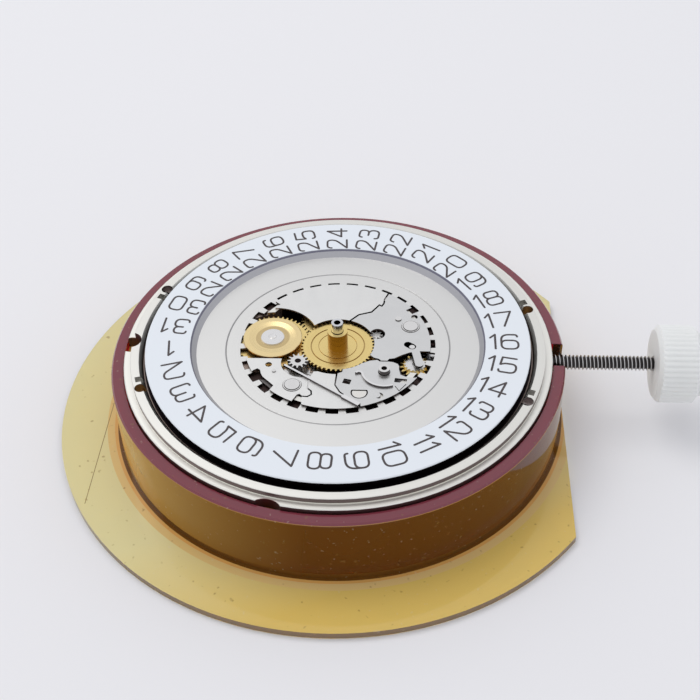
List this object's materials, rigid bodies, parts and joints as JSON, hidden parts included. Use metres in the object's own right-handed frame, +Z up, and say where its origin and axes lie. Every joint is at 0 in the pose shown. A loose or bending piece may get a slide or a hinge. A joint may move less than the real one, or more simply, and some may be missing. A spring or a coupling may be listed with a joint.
{
  "type": "watch movement",
  "caption": "Round self-winding watch movement, dial side up in a flanged plastic holder, with a date ring, motion work, winding stem and handling crown.",
  "frame": {"origin": "centre of the holder's base, under the axis of the hands", "axes": "+X out along the winding stem, +Z up and out of the dial side"},
  "size_m": [0.0397, 0.0344, 0.0072],
  "materials": {
    "amber_plastic": "glossy translucent",
    "white_plastic": "satin",
    "dark_steel": "turned",
    "steel": "satin",
    "bright_steel": "polished",
    "plate_nickel": "nickel plated, fine matte",
    "gilt_brass": "gilt",
    "white_metal": "white lacquer over silvered brass",
    "blued_steel": "blued",
    "ruby": "polished",
    "tungsten": "turned"
  },
  "bodies": {
    "holder": {"transport_holder": "amber_plastic"},
    "movement": {"main_plate": "plate_nickel", "upper_date_plate": "plate_nickel", "right_date_plate": "plate_nickel", "left_date_plate": "plate_nickel", "lower_date_plate": "plate_nickel", "cover_plate": "plate_nickel", "plate_studs": "steel", "setting_spring": "bright_steel", "jumper_spring": "bright_steel", "click_spring": "steel", "pallet_bridge": "plate_nickel", "balance_cock": "plate_nickel", "train_bridge": "plate_nickel", "barrel_bridge": "plate_nickel", "bridge_screws": "blued_steel", "jewels": "ruby", "rotor_bearing": "steel", "automatic_bridge": "plate_nickel"},
    "fourth_wheel": {"fourth_wheel": "gilt_brass"},
    "third_wheel": {"third_wheel": "gilt_brass"},
    "second_wheel": {"second_wheel": "gilt_brass"},
    "barrel": {"barrel_drum": "gilt_brass", "barrel_lid": "gilt_brass", "mainspring": "blued_steel"},
    "driving_wheel": {"driving_wheel": "gilt_brass"},
    "escape_wheel": {"escape_wheel": "gilt_brass"},
    "cannon_pinion": {"cannon_pinion": "steel"},
    "minute_wheel": {"minute_wheel": "steel"},
    "hour_wheel": {"hour_wheel": "gilt_brass"},
    "date_idler": {"date_idler": "gilt_brass"},
    "date_wheel": {"date_wheel": "gilt_brass", "date_drum": "gilt_brass"},
    "relay_wheel": {"relay_wheel": "gilt_brass"},
    "intermediate_wheel": {"intermediate_wheel": "gilt_brass"},
    "corrector_wheel": {"corrector_wheel": "gilt_brass"},
    "setting_wheel": {"setting_wheel": "steel"},
    "winding_pinion": {"winding_pinion": "steel"},
    "stem": {"winding_stem": "dark_steel", "setting_crown": "white_plastic"},
    "sliding_pinion": {"sliding_pinion": "steel"},
    "setting_lever": {"setting_lever": "steel"},
    "yoke": {"yoke": "steel"},
    "crown_wheel": {"crown_wheel": "steel", "transfer_wheel": "steel", "crown_screw": "steel"},
    "ratchet": {"ratchet_wheel": "steel", "ratchet_screw": "steel", "barrel_arbor": "steel"},
    "reduction_wheel": {"reduction_wheel": "gilt_brass"},
    "reverser_a": {"reverser_wheel_a": "gilt_brass"},
    "reverser_b": {"reverser_wheel_b": "gilt_brass"},
    "rotor": {"rotor": "tungsten"},
    "date_ring": {"date_ring": "white_metal"},
    "date_jumper": {"date_jumper": "steel"},
    "click": {"click": "steel"},
    "balance": {"balance_wheel": "gilt_brass", "balance_staff": "steel", "hairspring": "blued_steel"},
    "pallet_fork": {"pallet_fork": "steel"}
  },
  "joints": [
    {"name": "movement_lift", "type": "slide", "parent": "holder", "child": "movement", "axis": [0, 0, 1], "range_m": [0, 0.01]},
    {"name": "fourth_spin", "type": "hinge", "parent": "movement", "child": "fourth_wheel", "pos_m": [0, 0, 0.0036], "axis": [0, 0, 1], "continuous": true},
    {"name": "third_spin", "type": "hinge", "parent": "movement", "child": "third_wheel", "pos_m": [0.00228, 0.0012, 0.0039], "axis": [0, 0, 1], "continuous": true},
    {"name": "second_spin", "type": "hinge", "parent": "movement", "child": "second_wheel", "pos_m": [0.0049, 0.00022, 0.0033], "axis": [0, 0, 1], "continuous": true},
    {"name": "barrel_spin", "type": "hinge", "parent": "movement", "child": "barrel", "pos_m": [0.00569, -0.00391, 0.0037], "axis": [0, 0, 1], "continuous": true},
    {"name": "driving_spin", "type": "hinge", "parent": "movement", "child": "driving_wheel", "pos_m": [0, 0, 0.00469], "axis": [0, 0, 1], "continuous": true},
    {"name": "escape_spin", "type": "hinge", "parent": "movement", "child": "escape_wheel", "pos_m": [-0.00192, -0.00134, 0.0039], "axis": [0, 0, 1], "continuous": true},
    {"name": "cannon_spin", "type": "hinge", "parent": "movement", "child": "cannon_pinion", "pos_m": [0, 0, 0.0049], "axis": [0, 0, 1], "continuous": true},
    {"name": "minute_spin", "type": "hinge", "parent": "movement", "child": "minute_wheel", "pos_m": [-0.0023, -0.00147, 0.0049], "axis": [0, 0, 1], "continuous": true},
    {"name": "hour_spin", "type": "hinge", "parent": "movement", "child": "hour_wheel", "pos_m": [0, 0, 0.00512], "axis": [0, 0, 1], "continuous": true},
    {"name": "date_idler_spin", "type": "hinge", "parent": "movement", "child": "date_idler", "pos_m": [-0.00079, 0.0025, 0.00512], "axis": [0, 0, 1], "continuous": true},
    {"name": "date_wheel_spin", "type": "hinge", "parent": "movement", "child": "date_wheel", "pos_m": [-0.00395, 0.00048, 0.00512], "axis": [0, 0, 1], "continuous": true},
    {"name": "relay_spin", "type": "hinge", "parent": "movement", "child": "relay_wheel", "pos_m": [0.00053, -0.00281, 0.0049], "axis": [0, 0, 1], "continuous": true},
    {"name": "intermediate_spin", "type": "hinge", "parent": "movement", "child": "intermediate_wheel", "pos_m": [0.00283, -0.00243, 0.0049], "axis": [0, 0, 1], "continuous": true},
    {"name": "corrector_spin", "type": "hinge", "parent": "movement", "child": "corrector_wheel", "pos_m": [0.00465, -0.00137, 0.0049], "axis": [0, 0, 1], "continuous": true},
    {"name": "setting_spin", "type": "hinge", "parent": "movement", "child": "setting_wheel", "pos_m": [0.0057, -0.00042, 0.0049], "axis": [0, 0, 1], "continuous": true},
    {"name": "stem_spin", "type": "hinge", "parent": "movement", "child": "winding_pinion", "pos_m": [0.0081, 0, 0.00435], "axis": [1, 0, 0], "continuous": true},
    {"name": "stem_pull", "type": "slide", "parent": "winding_pinion", "child": "stem", "axis": [1, 0, 0], "range_m": [0, 0.0008]},
    {"name": "clutch_slide", "type": "slide", "parent": "winding_pinion", "child": "sliding_pinion", "axis": [1, 0, 0], "range_m": [-0.0004, 0]},
    {"name": "setting_lever_hinge", "type": "hinge", "parent": "movement", "child": "setting_lever", "pos_m": [0.00983, 0.00237, 0.005], "axis": [0, 0, 1], "range_deg": [0, 20]},
    {"name": "yoke_hinge", "type": "hinge", "parent": "movement", "child": "yoke", "pos_m": [0.00692, -0.0033, 0.005], "axis": [0, 0, 1], "range_deg": [0, 9]},
    {"name": "crown_wheel_spin", "type": "hinge", "parent": "movement", "child": "crown_wheel", "pos_m": [0.00936, 0, 0.0033], "axis": [0, 0, 1], "continuous": true},
    {"name": "ratchet_spin", "type": "hinge", "parent": "movement", "child": "ratchet", "pos_m": [0.00569, -0.00391, 0.0027], "axis": [0, 0, 1], "continuous": true},
    {"name": "reduction_spin", "type": "hinge", "parent": "movement", "child": "reduction_wheel", "pos_m": [0.0042, -0.0001, 0.0026], "axis": [0, 0, 1], "continuous": true},
    {"name": "rotor_spin", "type": "hinge", "parent": "movement", "child": "rotor", "pos_m": [0, 0, 0.0022], "axis": [0, 0, 1], "continuous": true},
    {"name": "reverser_a_spin", "type": "hinge", "parent": "movement", "child": "reverser_a", "pos_m": [0.00231, 0.00139, 0.0024], "axis": [0, 0, 1], "continuous": true},
    {"name": "reverser_b_spin", "type": "hinge", "parent": "movement", "child": "reverser_b", "pos_m": [0.00225, -0.00149, 0.0024], "axis": [0, 0, 1], "continuous": true},
    {"name": "date_ring_spin", "type": "hinge", "parent": "movement", "child": "date_ring", "pos_m": [0, 0, 0.0054], "axis": [0, 0, 1], "continuous": true},
    {"name": "date_jumper_hinge", "type": "hinge", "parent": "movement", "child": "date_jumper", "pos_m": [-0.00248, -0.00365, 0.0054], "axis": [0, 0, 1], "range_deg": [0, 5], "stiffness_Nm_per_rad": 0.00002},
    {"name": "click_hinge", "type": "hinge", "parent": "movement", "child": "click", "pos_m": [0.00212, -0.0064, 0.0027], "axis": [0, 0, -1], "range_deg": [0, 10], "stiffness_Nm_per_rad": 0.00002},
    {"name": "balance_swing", "type": "hinge", "parent": "movement", "child": "balance", "pos_m": [-0.00509, -0.00509, 0.0035], "axis": [0, 0, 1], "range_deg": [-270, 270], "stiffness_Nm_per_rad": 0.000001},
    {"name": "pallet_rock", "type": "hinge", "parent": "movement", "child": "pallet_fork", "pos_m": [-0.00326, -0.00293, 0.0039], "axis": [0, 0, 1], "range_deg": [-5, 5]}
  ],
  "couplings": [
    {"joint": "second_spin", "follows": "barrel_spin", "ratio": -6},
    {"joint": "third_spin", "follows": "barrel_spin", "ratio": 36},
    {"joint": "fourth_spin", "follows": "barrel_spin", "ratio": -320},
    {"joint": "driving_spin", "follows": "barrel_spin", "ratio": -5.3333},
    {"joint": "escape_spin", "follows": "barrel_spin", "ratio": 3840},
    {"joint": "cannon_spin", "follows": "date_wheel_spin", "ratio": 24},
    {"joint": "minute_spin", "follows": "date_wheel_spin", "ratio": -8},
    {"joint": "hour_spin", "follows": "date_wheel_spin", "ratio": 2},
    {"joint": "date_idler_spin", "follows": "date_wheel_spin", "ratio": -1.5},
    {"joint": "relay_spin", "follows": "date_wheel_spin", "ratio": 15.158},
    {"joint": "intermediate_spin", "follows": "date_wheel_spin", "ratio": -13.091},
    {"joint": "corrector_spin", "follows": "date_wheel_spin", "ratio": 19.2},
    {"joint": "setting_spin", "follows": "date_wheel_spin", "ratio": -28.8},
    {"joint": "crown_wheel_spin", "follows": "stem_spin", "ratio": -0.66667},
    {"joint": "ratchet_spin", "follows": "stem_spin", "ratio": 0.37634},
    {"joint": "reduction_spin", "follows": "stem_spin", "ratio": -1.9444},
    {"joint": "reverser_a_spin", "follows": "rotor_spin", "ratio": -1.25},
    {"joint": "reverser_b_spin", "follows": "rotor_spin", "ratio": -1.25},
    {"joint": "clutch_slide", "follows": "stem_pull", "ratio": -0.5},
    {"joint": "setting_lever_hinge", "follows": "stem_pull", "rad_per_m": 418.8},
    {"joint": "yoke_hinge", "follows": "stem_pull", "rad_per_m": 190}
  ]
}
